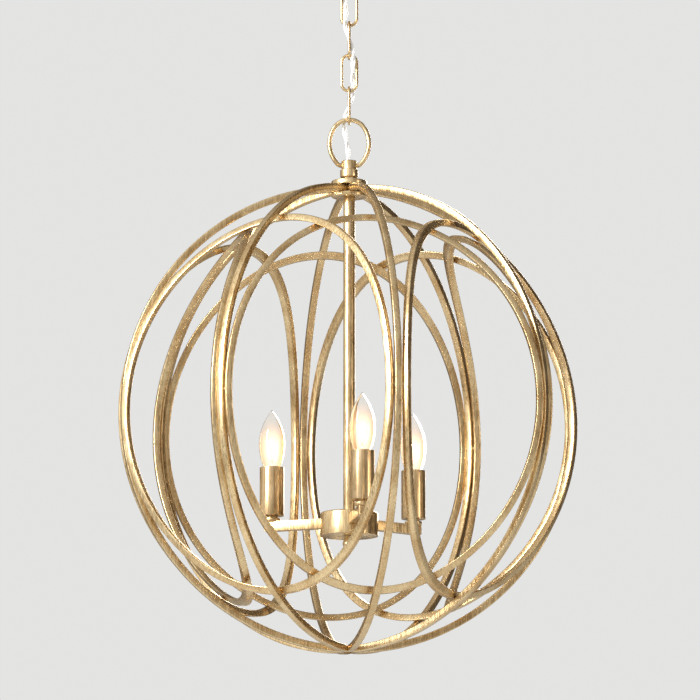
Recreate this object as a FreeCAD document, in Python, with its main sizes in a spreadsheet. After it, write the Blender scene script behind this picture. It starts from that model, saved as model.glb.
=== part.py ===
"""Orb chandelier: a ball-shaped cage of bent square bars that hangs on a chain and holds three candle lamps.

The origin is the middle of the canopy's rim, on the ceiling, and +Z points up, so all of the lamp
hangs below z = 0. Azimuths are counted from -Y, the front, towards +X. Lengths are in millimetres.
"""
import FreeCAD, Part
import Sketcher
import math
import os

Vector = FreeCAD.Vector
doc = FreeCAD.newDocument("orb_chandelier")

# ---------------------------------------------------------------- driving dimensions
SIZES = {
    # ceiling fittings
    "canopy_diameter": 127,
    "canopy_height": 26,
    "canopy_rim_height": 4,
    "canopy_bend": 60,
    "canopy_nose_diameter": 36,
    "canopy_wall": 1.2,
    "strap_length": 104,
    "strap_width": 20,
    "strap_thickness": 2,
    "strap_hole_spacing": 88.9,
    "strap_hole_diameter": 4.8,
    "nipple_diameter": 9.5,
    "nipple_bore": 7,
    "nut_across_corners": 19,
    "nut_height": 4,
    "canopy_nut_diameter": 27,
    "canopy_nut_height": 7,
    "loop_stem_diameter": 19,
    "loop_stem_height": 9,
    "loop_inner_diameter": 26,
    "loop_wire": 5,
    # chain and suspension ring
    "link_length": 52.4,
    "link_width": 24,
    "link_wire": 4,
    "link_gap": 0.3,
    "ring_width": 58,
    "ring_height": 70,
    "ring_wire": 6,
    "ring_side_bend": 40,
    "ring_end_bend": 6,
    "ring_end_angle": 43.3,
    "ring_pin_grip": 5,
    "pin_gap": 0.08,
    "turn_gap": 0.3,
    # top of the cage
    "collar_diameter": 20.5,
    "collar_height": 12,
    "collar_foot_diameter": 24,
    "collar_foot_height": 10.5,
    "lock_nut_height": 4.6,
    "disc_diameter": 47,
    "disc_edge": 1.6,
    "upper_disc_height": 6.5,
    "lower_disc_height": 5.5,
    # cage
    "cage_turn": 12,
    "cage_radius": 300,
    "bar_side": 9,
    "rib_height_share": 1.019,
    "rib_rise": 2,
    "oval_height_share": 0.8134,
    "outer_oval_share": 0.539,
    "inner_oval_share": 0.4667,
    "weld_gap": 0.1,
    "rivet_diameter": 4,
    "rivet_head_diameter": 7,
    "rivet_head_height": 1.8,
    # rod and lamp hub
    "rod_length": 420,
    "rod_diameter": 15.5,
    "thread_gap": 0.05,
    "thread_grip": 14,
    "hub_diameter": 76,
    "hub_height": 31,
    "hub_wall": 1.6,
    "hub_edge": 3,
    "cover_height": 2.4,
    "arm_turn": 9,
    "arm_drop": 13,
    "arm_bar": 12.5,
    "arm_wall": 1.5,
    "arm_root": 22,
    "arm_reach": 109,
    "arm_overhang": 9.5,
    "arm_round": 1.5,
    "finial_ball_diameter": 17.2,
    "finial_neck_diameter": 13,
    "finial_neck_height": 4.4,
    # candle lamps
    "seat_diameter": 23,
    "seat_height": 4.5,
    "neck_diameter": 16,
    "neck_height": 3.5,
    "cup_diameter": 32,
    "cup_height": 64.3,
    "cup_wall": 1,
    "cup_floor": 2,
    "socket_diameter": 25,
    "socket_height": 50,
    "socket_bore_depth": 22,
    "base_diameter": 11.7,
    "base_height": 16,
    "base_gap": 0.08,
    "glass_diameter": 34,
    "glass_wall": 0.7,
    "glass_neck_diameter": 14,
    "glass_below_rim": 8,
    "glass_belly_height": 39,
    "glass_tip_height": 46,
    # wires
    "cord_diameter": 6,
    "lead_diameter": 3.6,
}
LINKS = 4
BARS = 8
LAMPS = 3
BAR_STEP = 360 // BARS
LAMP_STEP = 360 // LAMPS

sheet = doc.addObject("Spreadsheet::Sheet", "sizes")
for row, (alias, size) in enumerate(SIZES.items(), 1):
    sheet.set("A%d" % row, alias.replace("_", " "))
    sheet.set("B%d" % row, str(size))
    sheet.setAlias("B%d" % row, alias)
doc.recompute()

# ---------------------------------------------------------------- heights and places worked out from the sizes
PLACES = {
    # down the chain
    "stem_top": "-sizes.canopy_height - sizes.canopy_nut_height",
    "stem_bottom": "places.stem_top - sizes.loop_stem_height",
    "loop_grip": "sizes.loop_stem_height - 2",
    "stem_reach": "places.loop_grip - places.stem_top",
    "loop_seat": "places.stem_bottom - sizes.loop_inner_diameter",
    "link_pitch": "sizes.link_length - 2 * sizes.link_wire - sizes.link_gap",
    "ring_seat": "places.loop_seat - %d * places.link_pitch" % LINKS,
    "ring_middle": "places.ring_seat + sizes.link_gap + sizes.ring_wire - sizes.ring_height / 2",
    "ring_drop": "(sizes.ring_side_bend - sizes.ring_end_bend) * sin(sizes.ring_end_angle) + sizes.ring_end_bend",
    "ring_pivot": "places.ring_middle - places.ring_drop",
    # top of the cage
    "collar_top": "places.ring_pivot + sizes.collar_height / 2",
    "collar_shoulder": "places.collar_top - sizes.collar_height",
    "collar_bottom": "places.collar_shoulder - sizes.collar_foot_height",
    "upper_disc_top": "places.collar_bottom - sizes.lock_nut_height",
    "rib_half_height": "sizes.cage_radius * sizes.rib_height_share",
    "oval_half_height": "sizes.cage_radius * sizes.oval_height_share",
    "outer_oval_reach": "sizes.cage_radius * sizes.outer_oval_share",
    "inner_oval_reach": "sizes.cage_radius * sizes.inner_oval_share",
    "rib_top": "places.upper_disc_top - sizes.upper_disc_height",
    "rib_middle": "places.rib_top - sizes.bar_side / 2 - places.rib_half_height",
    "cage_middle": "places.rib_middle - sizes.rib_rise",
    "rib_inner_height": "places.rib_half_height - sizes.bar_side / 2",
    "rib_inner_radius": "sizes.cage_radius - sizes.bar_side / 2",
    "disc_share": "sizes.disc_diameter / 2 / places.rib_inner_radius",
    "rib_sag": "places.rib_inner_height * (1 - sqrt(1 - places.disc_share ^ 2))",
    "lower_disc_top": "places.rib_top - sizes.bar_side - places.rib_sag - sizes.weld_gap",
    "rod_top": "places.lower_disc_top - sizes.lower_disc_height",
    # oval loops: their sides lie against the ribs, corner to flat
    "oval_offset": "sizes.bar_side / 2 + sizes.bar_side / sqrt(2) + sizes.weld_gap",
    "oval_plan": "sqrt(sizes.cage_radius ^ 2 - places.oval_offset ^ 2)",
    "oval_half_width": "(places.oval_plan - places.oval_offset) / sqrt(2)",
    "oval_distance": "(places.oval_plan + places.oval_offset) / sqrt(2)",
    "rivet_seat": "places.oval_offset + sizes.bar_side / sqrt(2) - sizes.rivet_head_diameter / 2",
    "rivet_head_ball": "(sizes.rivet_head_diameter ^ 2 / 4 + sizes.rivet_head_height ^ 2) / 2 / sizes.rivet_head_height",
    "rivet_head_angle": "asin(1 - sizes.rivet_head_height / places.rivet_head_ball)",
    # lamp hub
    "hub_top": "places.rod_top - sizes.rod_length",
    "hub_bottom": "places.hub_top - sizes.hub_height",
    "arm_middle": "places.hub_top - sizes.arm_drop",
    "finial_middle": "places.hub_bottom - sizes.finial_neck_height - places.finial_shoulder",
    "finial_grip": "sizes.finial_ball_diameter / 2",
    "finial_shoulder": "sqrt(sizes.finial_ball_diameter ^ 2 - sizes.finial_neck_diameter ^ 2) / 2",
    # candle lamps
    "seat_bottom": "places.arm_middle + sizes.arm_bar / 2",
    "cup_bottom": "places.seat_bottom + sizes.seat_height + sizes.neck_height",
    "cup_top": "places.cup_bottom + sizes.cup_height",
    "socket_bottom": "places.cup_bottom + sizes.cup_floor",
    "socket_top": "places.socket_bottom + sizes.socket_height",
    "glass_bottom": "places.cup_top - sizes.glass_below_rim",
    "belly": "places.glass_bottom + sizes.glass_belly_height",
    "belly_step": "(sizes.glass_diameter - sizes.glass_neck_diameter) / 2",
    "lower_bend": "(sizes.glass_belly_height ^ 2 + places.belly_step ^ 2) / 2 / places.belly_step",
    "upper_bend": "(sizes.glass_tip_height ^ 2 + sizes.glass_diameter ^ 2 / 4) / sizes.glass_diameter",
    "inner_neck": "sizes.glass_diameter / 2 - places.lower_bend"
    " + sqrt((places.lower_bend - sizes.glass_wall) ^ 2 - sizes.glass_belly_height ^ 2)",
    "inner_tip": "places.belly + sqrt((places.upper_bend - sizes.glass_wall) ^ 2"
    " - (places.upper_bend - sizes.glass_diameter / 2) ^ 2)",
    "nipple_hole": "sizes.nipple_diameter / 2 + sizes.thread_gap",
}

places = doc.addObject("App::FeaturePython", "places")
for name in PLACES:
    places.addProperty("App::PropertyFloat", name)
for name, rule in PLACES.items():
    places.setExpression(name, rule)
doc.recompute()


def value(rule):
    """The number that a rule written in the sheet's names gives."""
    return float(sheet.evalExpression(str(rule)))


# ---------------------------------------------------------------- ways to make a piece
UPRIGHT_ACROSS_X = FreeCAD.Rotation(Vector(0, 1, 0), 90)
UPRIGHT_ACROSS_Y = FreeCAD.Rotation(Vector(1, 1, 1), -120)
LIE_ALONG_X = FreeCAD.Rotation(Vector(0, 1, 0), 90)
FACE_MINUS_X = FreeCAD.Rotation(Vector(0, 1, 0), -90)
STAND_IN_XZ = FreeCAD.Rotation(Vector(1, 0, 0), 90)
nodes = {}


def bind(thing, **rules):
    """Tie properties to rules; Base_x and the like stand for the parts of the placement."""
    for name, rule in rules.items():
        path = name.replace("Base_", "Placement.Base.").replace("Turn", "Placement.Rotation.Angle")
        thing.setExpression(path, str(rule))
    return thing


def keep(node, thing):
    """Name a finished piece."""
    thing.Label = node
    nodes[node] = thing
    return thing


def cylinder(name, radius, height, bottom, x=0, y=0):
    """An upright round bar."""
    solid = doc.addObject("Part::Cylinder", name)
    return bind(solid, Radius=radius, Height=height, Base_x=x, Base_y=y, Base_z=bottom)


def bar_along_x(name, radius, start, length, y, z):
    """A round bar that lies along X."""
    solid = doc.addObject("Part::Cylinder", name)
    solid.Placement.Rotation = LIE_ALONG_X
    return bind(solid, Radius=radius, Height=length, Base_x=start, Base_y=y, Base_z=z)


def block(name, length, width, height, x, y, z):
    """A box, placed by its lowest corner."""
    solid = doc.addObject("Part::Box", name)
    return bind(solid, Length=length, Width=width, Height=height, Base_x=x, Base_y=y, Base_z=z)


def cut(name, base, *tools):
    """The base less each tool."""
    for count, tool in enumerate(tools, 1):
        result = doc.addObject("Part::Cut", name if count == len(tools) else "%s_cut_%d" % (name, count))
        result.Base = base
        result.Tool = tool
        base = result
    return base


def fuse(name, *parts):
    """The parts as one solid."""
    result = doc.addObject("Part::MultiFuse", name)
    result.Shapes = list(parts)
    return result


def common(name, base, tool):
    """What the base and the tool share."""
    result = doc.addObject("Part::Common", name)
    result.Base = base
    result.Tool = tool
    return result


def group(name, *parts):
    """Separate solids under one name."""
    result = doc.addObject("Part::Compound", name)
    result.Links = list(parts)
    return result


def tube(name, outer, inner, height, bottom, x=0, y=0):
    """An upright round tube."""
    return cut(
        name,
        cylinder(name + "_outside", outer, height, bottom, x, y),
        cylinder(name + "_bore", inner, height, bottom, x, y),
    )


def hex_nut(name, corner_radius, hole_radius, height, bottom):
    """A six-sided nut round the middle line."""
    blank = bind(doc.addObject("Part::Prism", name + "_blank"), Circumradius=corner_radius, Height=height)
    blank.Polygon = 6
    bind(blank, Base_z=bottom)
    return cut(name, blank, cylinder(name + "_hole", hole_radius, height, bottom))


def arc_middle(start, end, radius):
    """The middle of the short arc from start to end; its centre lies left of the way for a positive radius."""
    chord = end - start
    middle = (start + end) / 2
    left = Vector(-chord.y, chord.x, 0).normalize()
    side = math.copysign(1, radius)
    depth = math.sqrt(max(radius**2 - (chord.Length / 2) ** 2, 0))
    return middle - left * side * (abs(radius) - depth)


def turned(name, outline):
    """A body turned about the Z axis; outline lists (radius, height) or (radius, height, bend to the next)."""
    body = doc.addObject("PartDesign::Body", name)
    sketch = body.newObject("Sketcher::SketchObject", name + "_outline")
    plane = [item for item in body.Origin.OriginFeatures if item.Role == "XZ_Plane"][0]
    sketch.AttachmentSupport = [(plane, "")]
    sketch.MapMode = "FlatFace"
    corners = [Vector(value(corner[0]), value(corner[1]), 0) for corner in outline]
    ends = []
    for count, corner in enumerate(outline):
        start, end = corners[count], corners[(count + 1) % len(corners)]
        if len(corner) == 3:
            edge = Part.Arc(start, arc_middle(start, end, value(corner[2])), end)
        else:
            edge = Part.LineSegment(start, end)
        sketch.addGeometry(edge, False)
        flipped = sketch.getPoint(count, 1).distanceToPoint(start) > sketch.getPoint(count, 2).distanceToPoint(start)
        ends.append((2, 1) if flipped else (1, 2))
    for count, corner in enumerate(outline):
        following = (count + 1) % len(outline)
        sketch.addConstraint(
            Sketcher.Constraint("Coincident", count, ends[count][1], following, ends[following][0])
        )
        tie(sketch, "DistanceX", count, ends[count][0], corner[0], corners[count].x)
        tie(sketch, "DistanceY", count, ends[count][0], corner[1], corners[count].y)
        if len(corner) == 3:
            bend = sketch.addConstraint(Sketcher.Constraint("Radius", count, abs(value(corner[2]))))
            sketch.setExpression("Constraints[%d]" % bend, "abs(%s)" % corner[2])
    turn = body.newObject("PartDesign::Revolution", name + "_turn")
    turn.Profile = (sketch, [""])
    turn.ReferenceAxis = (sketch, ["V_Axis"])
    return body


def tie(sketch, kind, edge, end, rule, now):
    """Hold one coordinate of an outline's corner to its rule."""
    if rule == 0:
        axis = -2 if kind == "DistanceX" else -1
        sketch.addConstraint(Sketcher.Constraint("PointOnObject", edge, end, axis))
        return
    number = sketch.addConstraint(Sketcher.Constraint(kind, -1, 1, edge, end, now))
    sketch.setExpression("Constraints[%d]" % number, str(rule))


def blown(name, outline):
    """A turned shape like those of turned(), for arcs whose centres lie beyond the axis: they become splines."""
    corners = [Vector(value(corner[0]), 0, value(corner[1])) for corner in outline]
    edges = []
    for count, corner in enumerate(outline):
        start, end = corners[count], corners[(count + 1) % len(corners)]
        if len(corner) == 3:
            flat = arc_middle(Vector(start.x, start.z, 0), Vector(end.x, end.z, 0), value(corner[2]))
            edges.append(Part.Arc(start, Vector(flat.x, 0, flat.y), end).toBSpline().toShape())
        else:
            edges.append(Part.LineSegment(start, end).toShape())
    piece = doc.addObject("Part::Feature", name)
    piece.Shape = Part.Face(Part.Wire(edges)).revolve(Vector(), Vector(0, 0, 1), 360)
    return piece


def ellipse_ring(name, half_height, half_width, middle, direction, depth, both_ways):
    """A flat elliptical hoop of the bar's height, standing up and as deep as given."""
    prisms = []
    for side, sign in (("outer", "+"), ("inner", "-")):
        rim = doc.addObject("Part::Ellipse", "%s_%s_rim" % (name, side))
        rim.Placement.Rotation = UPRIGHT_ACROSS_X if direction.x else UPRIGHT_ACROSS_Y
        bind(
            rim,
            MajorRadius="%s %s sizes.bar_side / 2" % (half_height, sign),
            MinorRadius="%s %s sizes.bar_side / 2" % (half_width, sign),
            Base_z=middle,
        )
        prism = doc.addObject("Part::Extrusion", "%s_%s" % (name, side))
        prism.Base = rim
        prism.DirMode = "Custom"
        prism.Dir = direction
        prism.Solid = True
        prism.Symmetric = both_ways
        prisms.append(bind(prism, LengthFwd=depth))
    return cut(name, *prisms)


def swept_wire(name, edges, radius):
    """A round wire along joined lines and arcs."""
    path = Part.Wire(edges)
    start = path.OrderedEdges[0]
    ring = Part.Circle(start.valueAt(start.FirstParameter), start.tangentAt(start.FirstParameter), radius)
    section = Part.Wire([ring.toShape()])
    piece = doc.addObject("Part::Feature", name)
    piece.Shape = path.makePipeShell([section], True, False)
    return piece


# ---------------------------------------------------------------- ceiling fittings
def ceiling_fittings():
    strap = block(
        "strap_blank",
        "sizes.strap_length",
        "sizes.strap_width",
        "sizes.strap_thickness",
        "-sizes.strap_length / 2",
        "-sizes.strap_width / 2",
        "-sizes.strap_thickness",
    )
    holes = [cylinder("strap_middle_hole", "places.nipple_hole", "sizes.strap_thickness", "-sizes.strap_thickness")]
    for side in (-1, 1):
        holes.append(
            cylinder(
                "strap_hole",
                "sizes.strap_hole_diameter / 2",
                "sizes.strap_thickness",
                "-sizes.strap_thickness",
                x="%d * sizes.strap_hole_spacing / 2" % side,
            )
        )
    keep("mounting_strap", cut("mounting_strap", strap, *holes))
    keep(
        "mounting_nipple",
        tube(
            "mounting_nipple",
            "sizes.nipple_diameter / 2",
            "sizes.nipple_bore / 2",
            "places.stem_reach",
            "-places.stem_reach",
        ),
    )
    keep(
        "strap_nut",
        hex_nut(
            "strap_nut",
            "sizes.nut_across_corners / 2",
            "places.nipple_hole",
            "sizes.nut_height",
            "-sizes.strap_thickness - sizes.nut_height",
        ),
    )
    keep(
        "canopy",
        turned(
            "canopy",
            [
                ("places.nipple_hole", "-sizes.canopy_height"),
                ("sizes.canopy_nose_diameter / 2", "-sizes.canopy_height", "sizes.canopy_bend"),
                ("sizes.canopy_diameter / 2", "-sizes.canopy_rim_height"),
                ("sizes.canopy_diameter / 2", 0),
                ("sizes.canopy_diameter / 2 - sizes.canopy_wall", 0),
                (
                    "sizes.canopy_diameter / 2 - sizes.canopy_wall",
                    "-sizes.canopy_rim_height",
                    "-(sizes.canopy_bend - sizes.canopy_wall)",
                ),
                ("sizes.canopy_nose_diameter / 2", "sizes.canopy_wall - sizes.canopy_height"),
                ("places.nipple_hole", "sizes.canopy_wall - sizes.canopy_height"),
            ],
        ),
    )
    keep(
        "canopy_nut",
        turned(
            "canopy_nut",
            [
                ("places.nipple_hole", "places.stem_top"),
                ("sizes.canopy_nut_diameter / 2 - 2", "places.stem_top"),
                ("sizes.canopy_nut_diameter / 2", "places.stem_top + 2"),
                ("sizes.canopy_nut_diameter / 2", "-sizes.canopy_height - 1"),
                ("sizes.canopy_nut_diameter / 2 - 1", "-sizes.canopy_height"),
                ("places.nipple_hole", "-sizes.canopy_height"),
            ],
        ),
    )
    stem = cylinder("loop_stem", "sizes.loop_stem_diameter / 2", "sizes.loop_stem_height", "places.stem_bottom")
    eye = doc.addObject("Part::Torus", "loop_eye")
    eye.Placement.Rotation = LIE_ALONG_X
    bind(
        eye,
        Radius1="(sizes.loop_inner_diameter + sizes.loop_wire) / 2",
        Radius2="sizes.loop_wire / 2",
        Base_z="places.stem_bottom - sizes.loop_inner_diameter / 2",
    )
    way = cylinder("loop_cord_way", "sizes.nipple_bore / 2", "2 * sizes.loop_stem_height", "places.stem_bottom - 2")
    thread = cylinder("loop_thread", "places.nipple_hole", "places.loop_grip", "places.stem_top - places.loop_grip")
    keep("canopy_loop", cut("canopy_loop", fuse("loop_casting", stem, eye), way, thread))


# ---------------------------------------------------------------- chain and suspension ring
def chain():
    bend = "(sizes.link_width - sizes.link_wire) / 2"
    straight = "(sizes.link_length - sizes.link_width)"
    bends = []
    for side, turn in (("upper", 0), ("lower", 180)):
        half = doc.addObject("Part::Torus", "link_%s_bend" % side)
        half.Placement.Rotation = FreeCAD.Rotation(Vector(0, 1, 0), turn) * STAND_IN_XZ
        bind(half, Radius1=bend, Radius2="sizes.link_wire / 2", Angle3=180)
        bind(half, Base_z="%d * %s / 2" % (1 if side == "upper" else -1, straight))
        bends.append(half)
    rods = [
        cylinder("link_rod", "sizes.link_wire / 2", straight, "-%s / 2" % straight, x="%d * %s" % (side, bend))
        for side in (-1, 1)
    ]
    for number in range(1, LINKS + 1):
        node = "chain_link_%d" % number
        link = fuse(node, *bends, *rods)
        middle = "places.loop_seat + sizes.link_gap + sizes.link_wire - sizes.link_length / 2"
        bind(link, Base_z="%s - %d * places.link_pitch" % (middle, number - 1), Turn=90 * ((number - 1) % 2))
        keep(node, link)


def suspension_ring():
    """An oval of four tangent arcs, open at the bottom, with its ends turned in as pins for the collar."""
    middle = places.ring_middle
    pivot = places.ring_pivot
    half_width = (sheet.ring_width - sheet.ring_wire) / 2
    half_height = (sheet.ring_height - sheet.ring_wire) / 2
    side = sheet.ring_side_bend
    side_offset = side - half_width
    top = (side**2 - side_offset**2 - half_height**2) / (2 * (side - half_height))
    top_centre = half_height - top
    join = math.atan2(top_centre, side_offset)
    end = math.radians(sheet.ring_end_angle)
    end_bend = sheet.ring_end_bend
    pin_start = (side - end_bend) * math.cos(end) - side_offset
    pin_end = sheet.collar_diameter / 2 - sheet.ring_pin_grip

    def at(x, z):
        return Vector(x, 0, middle + z)

    def on_side(angle, sign):
        return at(sign * (side * math.cos(angle) - side_offset), side * math.sin(angle))

    def on_end(angle, sign):
        """A point of the tight bend that turns the ring's end towards its pin."""
        x = side * math.cos(end) - side_offset - end_bend * (math.cos(end) - math.cos(angle))
        z = -side * math.sin(end) + end_bend * (math.sin(end) - math.sin(angle))
        return at(sign * x, z)

    half_turn = (end + math.pi / 2) / 2
    edges = [
        Part.LineSegment(Vector(pin_end, 0, pivot), Vector(pin_start, 0, pivot)).toShape(),
        Part.Arc(Vector(pin_start, 0, pivot), on_end(half_turn, 1), on_side(-end, 1)).toShape(),
        Part.Arc(on_side(-end, 1), on_side(0, 1), on_side(join, 1)).toShape(),
        Part.Arc(on_side(join, 1), at(0, half_height), on_side(join, -1)).toShape(),
        Part.Arc(on_side(join, -1), on_side(0, -1), on_side(-end, -1)).toShape(),
        Part.Arc(on_side(-end, -1), on_end(half_turn, -1), Vector(-pin_start, 0, pivot)).toShape(),
        Part.LineSegment(Vector(-pin_start, 0, pivot), Vector(-pin_end, 0, pivot)).toShape(),
    ]
    keep("suspension_ring", swept_wire("suspension_ring", edges, sheet.ring_wire / 2))


# ---------------------------------------------------------------- top of the cage
def disc(name, top, height):
    """A round plate with a rolled edge."""
    radius = "sizes.disc_diameter / 2"
    bottom = "%s - %s" % (top, height)
    return turned(
        name,
        [
            ("places.nipple_hole", bottom),
            ("%s - sizes.disc_edge" % radius, bottom, "sizes.disc_edge"),
            (radius, "%s + sizes.disc_edge" % bottom),
            (radius, "%s - sizes.disc_edge" % top, "sizes.disc_edge"),
            ("%s - sizes.disc_edge" % radius, top),
            ("places.nipple_hole", top),
        ],
    )


def cage_top():
    grip = "sizes.thread_grip"
    collar = turned(
        "collar_blank",
        [
            ("places.nipple_hole", "places.collar_bottom"),
            ("sizes.collar_foot_diameter / 2 - 1", "places.collar_bottom"),
            ("sizes.collar_foot_diameter / 2", "places.collar_bottom + 1"),
            ("sizes.collar_foot_diameter / 2", "places.collar_shoulder - 1"),
            ("sizes.collar_foot_diameter / 2 - 1", "places.collar_shoulder"),
            ("sizes.collar_diameter / 2", "places.collar_shoulder"),
            ("sizes.collar_diameter / 2", "places.collar_top - 1"),
            ("sizes.collar_diameter / 2 - 1", "places.collar_top"),
            ("sizes.nipple_bore / 2", "places.collar_top"),
            ("sizes.nipple_bore / 2", "places.collar_bottom + sizes.collar_foot_height"),
            ("places.nipple_hole", "places.collar_bottom + sizes.collar_foot_height"),
        ],
    )
    ways = [
        bar_along_x(
            "collar_pin_way",
            "sizes.ring_wire / 2 + sizes.pin_gap",
            start,
            "sizes.ring_pin_grip + 1",
            0,
            "places.ring_pivot",
        )
        for start in (
            "sizes.collar_diameter / 2 - sizes.ring_pin_grip - sizes.pin_gap",
            "-sizes.collar_diameter / 2 - 1 + sizes.pin_gap",
        )
    ]
    keep("loop_collar", cut("loop_collar", collar, *ways))
    keep(
        "hub_lock_nut",
        hex_nut(
            "hub_lock_nut",
            "sizes.nut_across_corners / 2",
            "places.nipple_hole",
            "sizes.lock_nut_height",
            "places.upper_disc_top",
        ),
    )
    keep("upper_hub_disc", disc("upper_hub_disc", "places.upper_disc_top", "sizes.upper_disc_height"))
    keep("lower_hub_disc", disc("lower_hub_disc", "places.lower_disc_top", "sizes.lower_disc_height"))
    keep(
        "hub_nipple",
        tube(
            "hub_nipple",
            "sizes.nipple_diameter / 2",
            "sizes.nipple_bore / 2",
            "places.collar_shoulder - places.rod_top + %s" % grip,
            "places.rod_top - %s" % grip,
        ),
    )


# ---------------------------------------------------------------- cage
def rivet_way():
    """The clear way of a rivet through two oval loops and the rib between them, at the front rib."""
    through = bar_along_x(
        "rivet_hole",
        "sizes.rivet_diameter / 2 + sizes.thread_gap",
        "-2 * places.rivet_seat",
        "4 * places.rivet_seat",
        "-places.oval_plan",
        "places.cage_middle",
    )
    faces = [
        bar_along_x(
            "rivet_face",
            "sizes.rivet_head_diameter / 2 + sizes.weld_gap",
            start,
            "places.rivet_seat",
            "-places.oval_plan",
            "places.cage_middle",
        )
        for start in ("places.rivet_seat", "-2 * places.rivet_seat")
    ]
    return through, faces


def rivet():
    """A pin with a low domed head at each end, at the front rib."""
    pin = bar_along_x(
        "rivet_pin",
        "sizes.rivet_diameter / 2",
        "-places.rivet_seat",
        "2 * places.rivet_seat",
        "-places.oval_plan",
        "places.cage_middle",
    )
    sink = "places.rivet_seat - places.rivet_head_ball * sin(places.rivet_head_angle)"
    heads = []
    for name, sign, facing in (("right", "", LIE_ALONG_X), ("left", "-", FACE_MINUS_X)):
        head = doc.addObject("Part::Sphere", "rivet_head_" + name)
        head.Placement.Rotation = facing
        bind(head, Radius="places.rivet_head_ball", Angle1="places.rivet_head_angle")
        bind(head, Base_x="%s(%s)" % (sign, sink), Base_y="-places.oval_plan", Base_z="places.cage_middle")
        heads.append(head)
    return [pin] + heads


def ribs(way):
    """Eight upright half hoops, mitred where they meet on the middle line at the bottom."""
    hoop = ellipse_ring(
        "rib_hoop",
        "places.rib_half_height",
        "sizes.cage_radius",
        "places.rib_middle",
        Vector(1, 0, 0),
        "sizes.bar_side",
        True,
    )
    sector = doc.addObject("Part::Cylinder", "rib_sector")
    bind(
        sector,
        Radius="2 * sizes.cage_radius",
        Height="4 * places.rib_half_height",
        Angle=BAR_STEP,
        Base_z="places.rib_middle - 2 * places.rib_half_height",
        Turn="-90 - %g" % (BAR_STEP / 2),
    )
    core = cylinder("rib_core", "places.nipple_hole", "2 * places.rib_half_height", "places.rib_middle")
    half = cut("rib_blank", common("rib_half", hoop, sector), core)
    for number in range(1, BARS + 1):
        rib = cut("rib_%d" % number, half, way)
        bind(rib, Turn="sizes.cage_turn + %d" % (BAR_STEP * (number - 1)))
        keep("rib_%d" % number, rib)


def oval_blank(name, reach):
    """An upright oval loop, bent back towards its top and bottom so that it follows the ball."""
    hoop = ellipse_ring(
        name + "_hoop",
        "places.oval_half_height",
        "places.oval_half_width",
        "places.cage_middle",
        Vector(0, -1, 0),
        "sizes.cage_radius",
        False,
    )
    step = "(places.oval_distance - %s)" % reach
    bend = "((places.oval_half_height ^ 2 + %s ^ 2) / 2 / %s)" % (step, step)
    front, back = [
        bar_along_x(
            "%s_%s" % (name, side),
            bend,
            "-sizes.cage_radius",
            "2 * sizes.cage_radius",
            "%s - places.oval_distance %s sizes.bar_side / 2" % (bend, sign),
            "places.cage_middle",
        )
        for side, sign in (("front", "-"), ("back", "+"))
    ]
    return cut(name, common(name + "_trimmed", hoop, front), back)


def ovals(through, faces):
    """Eight oval loops, every other one inside its neighbours; each fills the space between two ribs."""
    tool = fuse("rivet_tool", through, *faces)
    tools = []
    for side in (-1, 1):
        turned_tool = fuse("rivet_tool_copy", tool, through)
        tools.append(bind(turned_tool, Turn="%d" % (side * BAR_STEP)))
    blanks = [
        oval_blank("inner_oval", "places.inner_oval_reach"),
        oval_blank("outer_oval", "places.outer_oval_reach"),
    ]
    for number in range(1, BARS + 1):
        oval = cut("oval_%d" % number, blanks[(number - 1) % 2], *tools)
        bind(oval, Turn="sizes.cage_turn + %d" % (BAR_STEP * (number - 1)))
        keep("oval_%d" % number, oval)


def cage():
    through, faces = rivet_way()
    ribs(through)
    ovals(through, faces)
    parts = rivet()
    pins = []
    for number in range(BARS):
        pin = fuse("rivet_%d" % (number + 1), *parts)
        pins.append(bind(pin, Turn="sizes.cage_turn + %d" % (BAR_STEP * number)))
    keep("equator_rivets", group("equator_rivets", *pins))


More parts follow.
